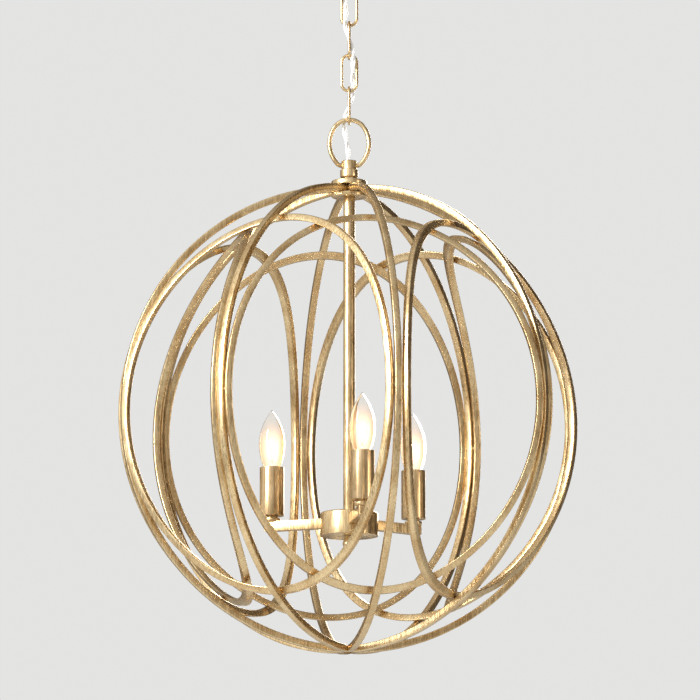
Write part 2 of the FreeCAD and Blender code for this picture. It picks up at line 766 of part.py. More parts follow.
# ---------------------------------------------------------------- rod and lamp hub
def rod_and_hub():
    keep(
        "main_rod",
        tube("main_rod", "sizes.rod_diameter / 2", "places.nipple_hole", "sizes.rod_length", "places.hub_top"),
    )
    radius = "sizes.hub_diameter / 2"
    wall = "sizes.hub_wall"
    shell = turned(
        "hub_shell",
        [
            ("places.nipple_hole", "places.hub_top - %s" % wall),
            ("%s - sizes.hub_edge" % radius, "places.hub_top - %s" % wall, "-(sizes.hub_edge - %s)" % wall),
            ("%s - %s" % (radius, wall), "places.hub_top - sizes.hub_edge"),
            ("%s - %s" % (radius, wall), "places.hub_bottom"),
            (radius, "places.hub_bottom"),
            (radius, "places.hub_top - sizes.hub_edge", "sizes.hub_edge"),
            ("%s - sizes.hub_edge" % radius, "places.hub_top"),
            ("places.nipple_hole", "places.hub_top"),
        ],
    )
    windows = []
    for number in range(LAMPS):
        side = "(sizes.arm_bar + 2 * sizes.thread_gap)"
        window = block(
            "hub_window",
            side,
            "sizes.hub_diameter / 4",
            side,
            "-%s / 2" % side,
            "-sizes.hub_diameter / 2 - 1",
            "places.arm_middle - %s / 2" % side,
        )
        turned_window = fuse("hub_window_%d" % (number + 1), window, window)
        windows.append(bind(turned_window, Turn="sizes.arm_turn + %d" % (LAMP_STEP * number)))
    keep("arm_hub", cut("arm_hub", shell, *windows))
    keep(
        "arm_hub_cover",
        tube(
            "arm_hub_cover",
            "%s - %s - sizes.thread_gap" % (radius, wall),
            "places.nipple_hole",
            "sizes.cover_height",
            "places.hub_bottom",
        ),
    )
    stud = tube(
        "stud_blank",
        "sizes.nipple_diameter / 2",
        "sizes.nipple_bore / 2",
        "sizes.thread_grip + sizes.hub_height + places.finial_grip",
        "places.hub_bottom - places.finial_grip",
    )
    slot = block(
        "stud_slot",
        "sizes.nipple_diameter",
        "sizes.nipple_bore",
        "sizes.arm_bar",
        "0",
        "-sizes.nipple_bore / 2",
        "places.arm_middle - sizes.arm_bar / 2",
    )
    keep("centre_stud", cut("centre_stud", stud, slot))
    keep(
        "stud_nut",
        hex_nut(
            "stud_nut",
            "sizes.nut_across_corners / 2",
            "places.nipple_hole",
            "sizes.nut_height",
            "places.hub_top - %s - sizes.nut_height" % wall,
        ),
    )
    ball = "sizes.finial_ball_diameter / 2"
    keep(
        "finial",
        turned(
            "finial",
            [
                ("places.nipple_hole", "places.hub_bottom - sizes.turn_gap"),
                ("places.nipple_hole", "places.hub_bottom - places.finial_grip - sizes.thread_gap"),
                (0, "places.hub_bottom - places.finial_grip - sizes.thread_gap"),
                (0, "places.finial_middle - %s" % ball, ball),
                (ball, "places.finial_middle", ball),
                ("sizes.finial_neck_diameter / 2", "places.hub_bottom - sizes.finial_neck_height"),
                ("sizes.finial_neck_diameter / 2", "places.hub_bottom - sizes.turn_gap"),
            ],
        ),
    )


# ---------------------------------------------------------------- arms and candle lamps
def at_lamp(piece, number):
    """Move a piece made on the middle line out to its arm's end."""
    turn = "(sizes.arm_turn + %d)" % (LAMP_STEP * (number - 1))
    return bind(
        piece, Base_x="sizes.arm_reach * sin(%s)" % turn, Base_y="-sizes.arm_reach * cos(%s)" % turn, Turn=turn
    )


def arm(number):
    """A square tube that is closed and rounded at its far end."""
    length = "(sizes.arm_reach + sizes.arm_overhang - sizes.arm_root)"
    inside = "(sizes.arm_bar - 2 * sizes.arm_wall)"
    blank = block(
        "arm_blank",
        "sizes.arm_bar",
        length,
        "sizes.arm_bar",
        "-sizes.arm_bar / 2",
        "-sizes.arm_root - %s" % length,
        "places.arm_middle - sizes.arm_bar / 2",
    )
    doc.recompute()
    far = -value("sizes.arm_reach + sizes.arm_overhang")
    rounded = doc.addObject("Part::Fillet", "arm_rounded")
    rounded.Base = blank
    rounded.Edges = [
        (count, sheet.arm_round, sheet.arm_round)
        for count, edge in enumerate(blank.Shape.Edges, 1)
        if abs(edge.BoundBox.YMax - far) < sheet.arm_round
    ]
    bore = block(
        "arm_bore",
        inside,
        "%s - sizes.arm_wall" % length,
        inside,
        "-%s / 2" % inside,
        "-sizes.arm_root - %s + sizes.arm_wall" % length,
        "places.arm_middle - %s / 2" % inside,
    )
    hole = cylinder(
        "arm_hole", "places.nipple_hole", "sizes.arm_bar", "places.arm_middle", y="-sizes.arm_reach"
    )
    piece = cut("arm_%d" % number, rounded, bore, hole)
    bind(piece, Turn="sizes.arm_turn + %d" % (LAMP_STEP * (number - 1)))
    keep("arm_%d" % number, piece)


def candle_seat(number):
    hole = "places.nipple_hole"
    seat_top = "places.seat_bottom + sizes.seat_height"
    body = turned(
        "candle_seat_%d" % number,
        [
            (hole, "places.seat_bottom"),
            ("sizes.seat_diameter / 2 - 1.5", "places.seat_bottom"),
            ("sizes.seat_diameter / 2", "places.seat_bottom + 1.5"),
            ("sizes.seat_diameter / 2", seat_top),
            ("sizes.neck_diameter / 2", seat_top),
            ("sizes.neck_diameter / 2", "places.cup_bottom"),
            (hole, "places.cup_bottom"),
        ],
    )
    return at_lamp(body, number)


def candle_cup(number):
    radius = "sizes.cup_diameter / 2"
    inside = "%s - sizes.cup_wall" % radius
    body = turned(
        "candle_cup_%d" % number,
        [
            ("places.nipple_hole", "places.cup_bottom"),
            (radius, "places.cup_bottom"),
            (radius, "places.cup_top"),
            (inside, "places.cup_top"),
            (inside, "places.cup_bottom + sizes.cup_floor"),
            ("places.nipple_hole", "places.cup_bottom + sizes.cup_floor"),
        ],
    )
    keep("candle_cup_%d" % number, at_lamp(body, number))


def socket(number):
    bore = "sizes.base_diameter / 2 + sizes.base_gap"
    floor = "places.socket_top - sizes.socket_bore_depth"
    lead_way = "sizes.lead_diameter / 2 + sizes.pin_gap"
    body = turned(
        "lamp_socket_%d" % number,
        [
            ("places.nipple_hole", "places.socket_bottom"),
            ("sizes.socket_diameter / 2", "places.socket_bottom"),
            ("sizes.socket_diameter / 2", "places.socket_top"),
            (bore, "places.socket_top"),
            (bore, floor),
            (lead_way, floor),
            (lead_way, "places.socket_bottom + sizes.nut_height"),
            ("places.nipple_hole", "places.socket_bottom + sizes.nut_height"),
        ],
    )
    keep("lamp_socket_%d" % number, at_lamp(body, number))


def bulb(number):
    """A clear flame-shaped glass on a small screw base that carries the filament."""
    belly = "sizes.glass_diameter / 2"
    glass = blown(
        "bulb_glass_%d" % number,
        [
            ("sizes.glass_neck_diameter / 2", "places.glass_bottom", "places.lower_bend"),
            (belly, "places.belly", "places.upper_bend"),
            (0, "places.belly + sizes.glass_tip_height"),
            (0, "places.inner_tip", "-(places.upper_bend - sizes.glass_wall)"),
            ("%s - sizes.glass_wall" % belly, "places.belly", "-(places.lower_bend - sizes.glass_wall)"),
            ("places.inner_neck", "places.glass_bottom"),
        ],
    )
    keep("bulb_glass_%d" % number, at_lamp(glass, number))
    shell = "sizes.base_diameter / 2"
    flange = "sizes.glass_neck_diameter / 2"
    foot = "places.glass_bottom - sizes.base_height"
    stem_top = "places.glass_bottom + sizes.glass_belly_height / 2"
    base = turned(
        "bulb_base_%d" % number,
        [
            (0, foot),
            ("%s / 2" % shell, foot),
            (shell, "%s + %s / 2" % (foot, shell)),
            (shell, "places.socket_top + sizes.turn_gap"),
            (flange, "places.socket_top + sizes.turn_gap"),
            (flange, "places.glass_bottom"),
            ("sizes.lead_diameter / 2", "places.glass_bottom"),
            ("sizes.lead_diameter / 2", stem_top),
            (0, stem_top),
        ],
    )
    keep("bulb_base_%d" % number, at_lamp(base, number))


def socket_nipple(number):
    bottom = "places.seat_bottom - sizes.arm_wall"
    piece = tube(
        "socket_nipple_%d" % number,
        "sizes.nipple_diameter / 2",
        "sizes.nipple_bore / 2",
        "places.socket_bottom + sizes.nut_height - (%s)" % bottom,
        bottom,
    )
    return at_lamp(piece, number)


def lead(number):
    """The wire pair inside an arm, from the hub's stud out to the arm's end and up to the socket's foot."""
    turn = FreeCAD.Rotation(Vector(0, 0, 1), sheet.arm_turn + LAMP_STEP * (number - 1))
    height = places.arm_middle
    bend = sheet.arm_bar / 2 - sheet.arm_wall / 2
    start = Vector(0, -sheet.nipple_diameter, height)
    corner = Vector(0, -(sheet.arm_reach - bend), height)
    top = Vector(0, -sheet.arm_reach, height + bend)
    half = math.sqrt(0.5) * bend
    middle = Vector(0, corner.y - half, height + bend - half)
    end = Vector(0, -sheet.arm_reach, places.socket_top - sheet.socket_bore_depth)
    edges = [
        Part.LineSegment(start, corner).toShape(),
        Part.Arc(corner, middle, top).toShape(),
        Part.LineSegment(top, end).toShape(),
    ]
    piece = swept_wire("lead_%d" % number, edges, sheet.lead_diameter / 2)
    piece.Placement = FreeCAD.Placement(Vector(), turn)
    return piece


def lamps():
    for number in range(1, LAMPS + 1):
        arm(number)
        candle_cup(number)
        socket(number)
        bulb(number)
    every = range(1, LAMPS + 1)
    keep("candle_seats", group("candle_seats", *[candle_seat(number) for number in every]))
    keep("socket_nipples", group("socket_nipples", *[socket_nipple(number) for number in every]))
    keep("arm_leads", group("arm_leads", *[lead(number) for number in every]))


# ---------------------------------------------------------------- power cord
CORD_ROUTE = [
    (0, 0, -1),
    (0, 0, -50),
    (-7.2, 6.8, -70),
    (-3.4, 0, -90),
    (-6.7, -6.7, -112),
    (0, -4.1, -134),
    (6.7, -6.7, -156),
    (3.4, 0, -178),
    (6.7, 6.7, -200),
    (0, 3.6, -222),
    (-8.2, 7.2, -244),
    (-4.4, 3.2, -268),
    (0, 0, -286),
    (0, 0, -776),
]
CORD_REACH = 0.45


def power_cord():
    """One cord, woven through the chain's links and run down inside the rod, as straight runs and arcs."""
    points = [Vector(*point) for point in CORD_ROUTE]
    edges = []
    radii = []
    start = points[0]
    for before, corner, after in zip(points, points[1:], points[2:]):
        way_in = (corner - before).normalize()
        way_out = (after - corner).normalize()
        reach = CORD_REACH * min((corner - before).Length, (after - corner).Length)
        half_turn = way_in.getAngle(way_out) / 2
        radius = reach / math.tan(half_turn)
        radii.append(radius)
        first = corner - way_in * reach
        last = corner + way_out * reach
        inward = (way_out - way_in).normalize()
        centre = corner + inward * (radius / math.cos(half_turn))
        edges.append(Part.LineSegment(start, first).toShape())
        edges.append(Part.Arc(first, centre - inward * radius, last).toShape())
        start = last
    edges.append(Part.LineSegment(start, points[-1]).toShape())
    radius = sheet.cord_diameter / 2
    cord = keep("power_cord", swept_wire("power_cord", edges, radius))
    length = sum(edge.Length for edge in edges)
    expected = math.pi * radius**2 * length
    print("cord length %.1f mm, radii %s" % (length, " ".join("%.0f" % one for one in radii)))
    print("cord volume %.0f mm3, section times length %.0f mm3" % (cord.Shape.Volume, expected))


# ---------------------------------------------------------------- build, check and write
ceiling_fittings()
chain()
suspension_ring()
cage_top()
cage()
rod_and_hub()
lamps()
power_cord()
doc.recompute()

failed = [item.Name for item in doc.Objects if "Invalid" in item.State or "Error" in item.State]
for node, piece in nodes.items():
    if piece.Shape.isNull() or not piece.Shape.isValid() or not piece.Shape.Solids:
        failed.append(node)
if failed:
    raise RuntimeError("these did not build: %s" % ", ".join(failed))
os.makedirs("parts", exist_ok=True)
for node, piece in nodes.items():
    piece.Shape.exportStep("parts/%s.step" % node)
print("%d nodes, %d solids" % (len(nodes), sum(len(piece.Shape.Solids) for piece in nodes.values())))
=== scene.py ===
"""The orb chandelier dressed over its CAD frame: leafed bars, woven cord, lit flame bulbs.

Lengths are in metres, and the frame's origin is on the ceiling over the middle rod.
"""
import math

import bmesh
import bpy
from mathutils import Matrix, Vector


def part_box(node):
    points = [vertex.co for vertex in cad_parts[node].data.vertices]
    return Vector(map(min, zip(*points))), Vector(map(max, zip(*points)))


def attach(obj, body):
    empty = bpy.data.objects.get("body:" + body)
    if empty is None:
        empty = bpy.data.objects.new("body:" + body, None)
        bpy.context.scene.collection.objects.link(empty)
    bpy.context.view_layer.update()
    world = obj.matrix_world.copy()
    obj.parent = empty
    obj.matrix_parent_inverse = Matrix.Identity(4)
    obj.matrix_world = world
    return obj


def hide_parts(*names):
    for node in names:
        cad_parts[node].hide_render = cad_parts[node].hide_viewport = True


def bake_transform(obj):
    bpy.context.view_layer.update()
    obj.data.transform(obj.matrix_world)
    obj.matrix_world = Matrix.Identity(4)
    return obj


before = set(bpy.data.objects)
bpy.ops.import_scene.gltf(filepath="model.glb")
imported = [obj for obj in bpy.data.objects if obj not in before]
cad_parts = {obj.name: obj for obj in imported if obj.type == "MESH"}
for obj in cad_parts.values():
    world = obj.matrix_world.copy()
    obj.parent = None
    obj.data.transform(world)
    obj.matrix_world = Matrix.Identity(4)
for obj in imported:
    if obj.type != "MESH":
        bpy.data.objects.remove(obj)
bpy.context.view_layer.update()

MM = 0.001
LAMPS = 3
BARS = 8
LINKS = 4

# ---------------------------------------------------------------- sizes, as the solids have them
CAGE_TURN = math.radians(12)
CAGE_RADIUS = 300 * MM
BAR_SIDE = 9 * MM
BAR_ROUND = 1.3 * MM
RIB_HALF_HEIGHT = 1.019 * CAGE_RADIUS
RIB_RISE = 2 * MM
OVAL_HALF_HEIGHT = 0.8134 * CAGE_RADIUS
OVAL_REACHES = (0.4667 * CAGE_RADIUS, 0.539 * CAGE_RADIUS)
WELD_GAP = 0.1 * MM
CORE_RADIUS = 4.8 * MM
ARM_TURN = math.radians(9)
ARM_REACH = 109 * MM
GLASS_WALL = 0.7 * MM
GLASS_NECK = 7 * MM
GLASS_BELLY = 17 * MM
BELLY_HEIGHT = 39 * MM
TIP_HEIGHT = 46 * MM
SHELL_RADIUS = 5.85 * MM

RIB_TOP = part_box("rib_1")[1].z
RIB_MIDDLE = RIB_TOP - BAR_SIDE / 2 - RIB_HALF_HEIGHT
CAGE_MIDDLE = RIB_MIDDLE - RIB_RISE
GLASS_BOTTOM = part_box("bulb_glass_1")[0].z
BELLY = GLASS_BOTTOM + BELLY_HEIGHT
BASE_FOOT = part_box("bulb_base_1")[0].z

# ---------------------------------------------------------------- camera
VIEW_RISE = math.radians(9)
VIEW_DISTANCE = 29.73 * CAGE_RADIUS
LENS = 349.5
SHIFT = (0.0011, 0.0996)


def add_camera():
    aim = Vector((0, 0, CAGE_MIDDLE))
    away = Vector((0, -math.cos(VIEW_RISE), -math.sin(VIEW_RISE)))
    data = bpy.data.cameras.new("camera")
    data.sensor_width = 36
    data.lens = LENS
    data.shift_x, data.shift_y = SHIFT
    data.clip_end = 100
    camera = bpy.data.objects.new("camera", data)
    camera.location = aim + away * VIEW_DISTANCE
    camera.rotation_euler = (-away).to_track_quat("-Z", "Y").to_euler()
    bpy.context.collection.objects.link(camera)
    bpy.context.scene.camera = camera


# ---------------------------------------------------------------- materials
class Shader:
    """A material being wired up from nodes."""

    def __init__(self, name):
        self.material = bpy.data.materials.new(name)
        self.material.use_nodes = True
        self.tree = self.material.node_tree
        self.surface = self.tree.nodes["Principled BSDF"]
        self.place = self.add("ShaderNodeTexCoord").outputs["Object"]

    def add(self, kind, **settings):
        node = self.tree.nodes.new(kind)
        for name, setting in settings.items():
            setattr(node, name, setting)
        return node

    def link(self, start, end):
        self.tree.links.new(start, end)

    def noise(self, scale, stretch=(1, 1, 1), detail=4, roughness=0.55):
        spread = self.add("ShaderNodeMapping")
        spread.inputs["Scale"].default_value = stretch
        self.link(self.place, spread.inputs["Vector"])
        node = self.add("ShaderNodeTexNoise")
        node.inputs["Scale"].default_value = scale
        node.inputs["Detail"].default_value = detail
        node.inputs["Roughness"].default_value = roughness
        self.link(spread.outputs["Vector"], node.inputs["Vector"])
        return node.outputs["Fac"]

    def ramp(self, value, *stops):
        node = self.add("ShaderNodeValToRGB")
        while len(node.color_ramp.elements) < len(stops):
            node.color_ramp.elements.new(0.5)
        for element, (position, color) in zip(node.color_ramp.elements, stops):
            element.position = position
            element.color = (*color, 1)
        self.link(value, node.inputs["Fac"])
        return node.outputs["Color"]

    def mix(self, factor, first, second, blend="MIX"):
        node = self.add("ShaderNodeMix", data_type="RGBA", blend_type=blend)
        for value, socket in ((factor, node.inputs[0]), (first, node.inputs[6]), (second, node.inputs[7])):
            if isinstance(value, bpy.types.NodeSocket):
                self.link(value, socket)
            else:
                socket.default_value = value
        return node.outputs[2]

    def spread(self, value, low, high):
        node = self.add("ShaderNodeMapRange")
        node.inputs["From Min"].default_value = 0.3
        node.inputs["From Max"].default_value = 0.7
        node.inputs["To Min"].default_value = low
        node.inputs["To Max"].default_value = high
        self.link(value, node.inputs["Value"])
        return node.outputs["Result"]

    def bump(self, value, strength, height, below=None):
        node = self.add("ShaderNodeBump")
        node.inputs["Strength"].default_value = strength
        node.inputs["Distance"].default_value = height
        self.link(value, node.inputs["Height"])
        if below is not None:
            self.link(below, node.inputs["Normal"])
        return node.outputs["Normal"]

    def set(self, **sockets):
        for name, value in sockets.items():
            socket = self.surface.inputs[name.replace("_", " ")]
            if isinstance(value, bpy.types.NodeSocket):
                self.link(value, socket)
            else:
                socket.default_value = value
        return self.material


def leafed(name, light, middle, dark, streak=(1, 1, 0.08)):
    """Gold leaf rubbed thin over a brown ground: blotches, fine rub lines and small worn specks."""
    shader = Shader(name)
    blotch = shader.noise(22, detail=5)
    rub = shader.noise(520, stretch=streak, detail=3)
    speck = shader.noise(420, stretch=(1, 1, 0.4), detail=5, roughness=0.7)
    color = shader.ramp(blotch, (0.34, middle), (0.6, light))
    worn = shader.ramp(speck, (0.27, (0.8, 0.8, 0.8)), (0.4, (0, 0, 0)))
    color = shader.mix(worn, color, (*dark, 1))
    lines = shader.ramp(rub, (0.3, (0.55, 0.46, 0.34)), (0.6, (1, 1, 1)))
    color = shader.mix(0.55, color, lines, blend="MULTIPLY")
    normal = shader.bump(rub, 0.16, 0.2 * MM)
    normal = shader.bump(blotch, 0.25, 1.2 * MM, below=normal)
    return shader.set(Base_Color=color, Metallic=0.92, Roughness=shader.spread(rub, 0.2, 0.38), Normal=normal)


def zinc(name):
    """Plated steel with a fine grain."""
    shader = Shader(name)
    grain = shader.noise(900, stretch=(1, 1, 0.2))
    color = shader.ramp(grain, (0.3, (0.42, 0.4, 0.34)), (0.7, (0.62, 0.6, 0.54)))
    return shader.set(
        Base_Color=color,
        Metallic=0.95,
        Roughness=shader.spread(grain, 0.25, 0.45),
        Normal=shader.bump(grain, 0.15, 0.1 * MM),
    )


def moulded(name, color, rough):
    """Plain moulded plastic with a faint skin."""
    shader = Shader(name)
    skin = shader.noise(700)
    tone = shader.ramp(skin, (0.3, [part * 0.86 for part in color]), (0.7, color))
    return shader.set(
        Base_Color=tone,
        Roughness=shader.spread(skin, rough - 0.06, rough + 0.08),
        Normal=shader.bump(skin, 0.1, 0.1 * MM),
    )


def clear_glass(name):
    """Thin clear glass with the faintest waves of blown glass."""
    shader = Shader(name)
    wave = shader.noise(60, detail=1)
    return shader.set(
        Base_Color=(1, 0.985, 0.96, 1),
        Roughness=shader.spread(wave, 0.0, 0.02),
        IOR=1.45,
        Transmission_Weight=1,
        Normal=shader.bump(wave, 0.06, 0.4 * MM),
    )


def grey(value):
    return (value,) * 3


def lit_glass(name, low, high):
    """Clear glass with a painted glow in place of the hot wire's bloom: emission and a warm tint in its
    colour, strongest low down and face on.
    """
    shader = Shader(name)
    wave = shader.noise(60, detail=1)
    split = shader.add("ShaderNodeSeparateXYZ")
    shader.link(shader.place, split.inputs[0])
    rise = shader.add("ShaderNodeMapRange")
    rise.inputs["From Min"].default_value = low
    rise.inputs["From Max"].default_value = high
    shader.link(split.outputs["Z"], rise.inputs["Value"])
    bell = shader.ramp(
        rise.outputs["Result"],
        (0, grey(0.5)),
        (0.3, grey(1)),
        (0.52, grey(0.8)),
        (0.7, grey(0.2)),
        (0.86, grey(0)),
    )
    facing = shader.add("ShaderNodeLayerWeight")
    facing.inputs["Blend"].default_value = 0.4
    core = shader.ramp(facing.outputs["Facing"], (0.03, grey(1)), (0.22, grey(0.3)), (0.6, grey(0.02)))
    glow = shader.mix(1, bell, core, blend="MULTIPLY")
    # painted glow: the warm tint in the colour and the emission stand in for the wire's light in the glass
    return shader.set(
        Base_Color=shader.mix(bell, (1, 0.985, 0.96, 1), (1, 0.84, 0.66, 1)),
        Roughness=shader.spread(wave, 0.0, 0.02),
        IOR=1.45,
        Transmission_Weight=1,
        Normal=shader.bump(wave, 0.06, 0.4 * MM),
        Emission_Color=shader.ramp(
            glow, (0.05, (1, 0.5, 0.25)), (0.5, (1, 0.8, 0.58)), (0.9, (1, 0.96, 0.88))
        ),
        Emission_Strength=shader.mix(1, glow, (*grey(BLOOM), 1), blend="MULTIPLY"),
    )


def glowing(name, color, strength):
    """Hot wire, a little uneven along its length."""
    shader = Shader(name)
    heat = shader.noise(300)
    return shader.set(
        Base_Color=(0.2, 0.15, 0.1, 1),
        Emission_Color=shader.ramp(heat, (0.2, [part * 0.8 for part in color]), (0.8, color)),
        Emission_Strength=strength,
    )


def cord_jacket(name):
    """Clear jacket over silvery stranded wire."""
    shader = Shader(name)
    strand = shader.noise(900, stretch=(1, 1, 0.35))
    color = shader.ramp(
        strand, (0.3, (0.74, 0.75, 0.77)), (0.55, (0.9, 0.91, 0.92)), (0.75, (0.97, 0.97, 0.97))
    )
    return shader.set(
        Base_Color=color,
        Metallic=0.1,
        Roughness=shader.spread(strand, 0.22, 0.4),
        Coat_Weight=0.8,
        Coat_Roughness=0.08,
        Normal=shader.bump(strand, 0.2, 0.15 * MM),
    )


BLOOM = 0.28
HOT_STRENGTH = 60
GOLD = leafed("antique_gold", (0.82, 0.65, 0.39), (0.6, 0.42, 0.21), (0.15, 0.08, 0.035))
GOLD_SLEEVE = leafed(
    "antique_gold_sleeve", (0.74, 0.57, 0.35), (0.5, 0.35, 0.18), (0.13, 0.07, 0.03), streak=(1, 1, 0.03)
)
ZINC = zinc("zinc_steel")
BLACK = moulded("socket_black", (0.035, 0.033, 0.03), 0.55)
WHITE = moulded("lead_white", (0.8, 0.79, 0.75), 0.45)
GLASS = clear_glass("clear_glass")
FLAME_GLASS = lit_glass("flame_glass", GLASS_BOTTOM, BELLY + TIP_HEIGHT)
NICKEL = zinc("base_nickel")
HOT = glowing("hot_wire", (1, 0.82, 0.55), HOT_STRENGTH)
CORD = cord_jacket("clear_cord")


# ---------------------------------------------------------------- ways to make a piece
def finished(name, mesh, material, body=None, nodes=(), crease=35):
    """Put a mesh into the scene as a smooth-shaded piece."""
    mesh.materials.clear()
    mesh.materials.append(material)
    mesh.shade_smooth()
    mesh.set_sharp_from_angle(angle=math.radians(crease))
    piece = bpy.data.objects.new(name, mesh)
    bpy.context.collection.objects.link(piece)
    if nodes:
        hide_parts(*nodes)
    if body:
        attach(piece, body)
    return piece


def edged(node, material, body, round_edge, crease=35):
    """A copy of a CAD node whose sharp edges are rounded off."""
    mesh = bmesh.new()
    mesh.from_mesh(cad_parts[node].data)
    bmesh.ops.remove_doubles(mesh, verts=mesh.verts, dist=0.002 * MM)
    bmesh.ops.dissolve_limit(mesh, angle_limit=math.radians(0.5), verts=mesh.verts, edges=mesh.edges)
    limit = math.radians(crease)
    sharp = [edge for edge in mesh.edges if len(edge.link_faces) == 2 and edge.calc_face_angle(0) > limit]
    if round_edge:
        bmesh.ops.bevel(
            mesh, geom=sharp, offset=round_edge, segments=3, profile=0.5, affect="EDGES", clamp_overlap=True
        )
    data = bpy.data.meshes.new(node + "_finish")
    mesh.to_mesh(data)
    mesh.free()
    return finished(node + "_finish", data, material, body, [node], crease)


def lathe(profile, middle, turns=64):
    """A mesh turned round an upright axis from (radius, height) points; a radius of 0 closes it."""
    mesh = bmesh.new()
    rings = []
    for radius, height in profile:
        if radius < 1e-7:
            rings.append([mesh.verts.new((middle.x, middle.y, height))])
            continue
        ring = []
        for step in range(turns):
            angle = 2 * math.pi * step / turns
            x = middle.x + radius * math.cos(angle)
            y = middle.y + radius * math.sin(angle)
            ring.append(mesh.verts.new((x, y, height)))
        rings.append(ring)
    for low, high in zip(rings, rings[1:]):
        for step in range(turns):
            following = (step + 1) % turns
            corners = [low[step % len(low)], low[following % len(low)]]
            corners += [high[following % len(high)], high[step % len(high)]]
            corners = list(dict.fromkeys(corners))
            if len(corners) > 2:
                mesh.faces.new(corners)
    bmesh.ops.remove_doubles(mesh, verts=mesh.verts, dist=0.0005 * MM)
    bmesh.ops.recalc_face_normals(mesh, faces=mesh.faces)
    data = bpy.data.meshes.new("turned")
    mesh.to_mesh(data)
    mesh.free()
    return data


def rounded_square():
    """The bar's section: a square with rounded corners, as (across, outward) offsets."""
    points = []
    inner = BAR_SIDE / 2 - BAR_ROUND
    for quarter in range(4):
        corner = Vector((inner, inner))
        for step in range(4):
            angle = math.radians(90 * quarter + 30 * step)
            middle = Matrix.Rotation(math.radians(90 * quarter), 2) @ corner
            points.append((middle.x + BAR_ROUND * math.cos(angle), middle.y + BAR_ROUND * math.sin(angle)))
    return points


def bar(name, node, point, steps, closed):
    """A square bar with rounded corners; point(share, across, outward) places its skin along its length."""
    profile = rounded_square()
    mesh = bmesh.new()
    count = steps if closed else steps + 1
    rings = [[mesh.verts.new(point(step / steps, *offset)) for offset in profile] for step in range(count)]
    for step in range(steps):
        near, far = rings[step], rings[(step + 1) % count]
        for side in range(len(profile)):
            following = (side + 1) % len(profile)
            mesh.faces.new((near[side], near[following], far[following], far[side]))
    if not closed:
        mesh.faces.new(rings[0])
        mesh.faces.new(rings[-1])
    bmesh.ops.recalc_face_normals(mesh, faces=mesh.faces)
    data = bpy.data.meshes.new(name)
    mesh.to_mesh(data)
    mesh.free()
    return finished(name, data, GOLD, "fixture", [node], crease=60)


def tube_along(points, radius_at, sides=12):
    """A closed tube round a line of points; radius_at(share) is its radius."""
    mesh = bmesh.new()
    rings = []
    normal = Vector((0, 1, 0))
    for count, here in enumerate(points):
        ahead = points[min(count + 1, len(points) - 1)] - points[max(count - 1, 0)]
        ahead.normalize()
        normal = (normal - ahead * normal.dot(ahead)).normalized()
        across = ahead.cross(normal)
        radius = radius_at(count / (len(points) - 1))
        angles = [2 * math.pi * side / sides for side in range(sides)]
        rings.append(
            [mesh.verts.new(here + (normal * math.cos(a) + across * math.sin(a)) * radius) for a in angles]
        )
    for near, far in zip(rings, rings[1:]):
        for side in range(sides):
            following = (side + 1) % sides
            mesh.faces.new((near[side], near[following], far[following], far[side]))
    mesh.faces.new(rings[0])
    mesh.faces.new(rings[-1])
    bmesh.ops.recalc_face_normals(mesh, faces=mesh.faces)
    data = bpy.data.meshes.new("tube")
    mesh.to_mesh(data)
    mesh.free()
    return data


def joined(meshes):
    """Several meshes as one."""
    whole = bmesh.new()
    for mesh in meshes:
        whole.from_mesh(mesh)
    data = bpy.data.meshes.new("joined")
    whole.to_mesh(data)
    whole.free()
    return data


# ---------------------------------------------------------------- cord woven through the chain
# The solid cord's own route, in millimetres from the ceiling down.
CORD_ROUTE = [
    (0, 0, -1),
    (0, 0, -50),
    (-7.2, 6.8, -70),
    (-3.4, 0, -90),
    (-6.7, -6.7, -112),
    (0, -4.1, -134),
    (6.7, -6.7, -156),
    (3.4, 0, -178),
    (6.7, 6.7, -200),
    (0, 3.6, -222),
    (-8.2, 7.2, -244),
    (-4.4, 3.2, -268),
    (0, 0, -286),
    (0, 0, -776),
]
STRAND_TURN = 48 * MM
STRAND_RADIUS = 1.7 * MM
STRAND_OFFSET = 1.5 * MM
LINE_STEP = 1.5 * MM
LAP = 0.8 * MM
# The bodies above and below each stretch, its top and bottom, and the start and end of its bend,
# in millimetres.
STRETCHES = [
    ("ceiling_set", "link_1", -1, -90, -52, -86),
    ("link_1", "link_2", -90, -134, -98, -130),
    ("link_2", "link_3", -134, -178, -142, -174),
    ("link_3", "link_4", -178, -222, -186, -218),
    ("link_4", "ring", -222, -270, -230, -262),
    ("ring", "fixture", -270, -776, -276, -304),
]


def cord_line():
    """Points along the cord's smooth line, from the ceiling down."""
    curve = bpy.data.curves.new("cord_route", "CURVE")
    curve.dimensions = "3D"
    curve.resolution_u = 24
    spline = curve.splines.new("NURBS")
    spline.points.add(len(CORD_ROUTE) - 1)
    for point, place in zip(spline.points, CORD_ROUTE):
        point.co = (*(part * MM for part in place), 1)
    spline.order_u = 3
    spline.use_endpoint_u = True
    holder = bpy.data.objects.new("cord_route", curve)
    bpy.context.collection.objects.link(holder)
    bpy.context.view_layer.update()
    line = bpy.data.meshes.new_from_object(holder.evaluated_get(bpy.context.evaluated_depsgraph_get()))
    points = [vertex.co.copy() for vertex in line.vertices]
    bpy.data.objects.remove(holder)
    return even(points, LINE_STEP)


def even(points, step):
    """The same line with points at even steps."""
    result = [points[0]]
    left = step
    for start, end in zip(points, points[1:]):
        length = (end - start).length
        while left <= length:
            result.append(start.lerp(end, left / length))
            left += step
        left -= length
    result.append(points[-1])
    return result


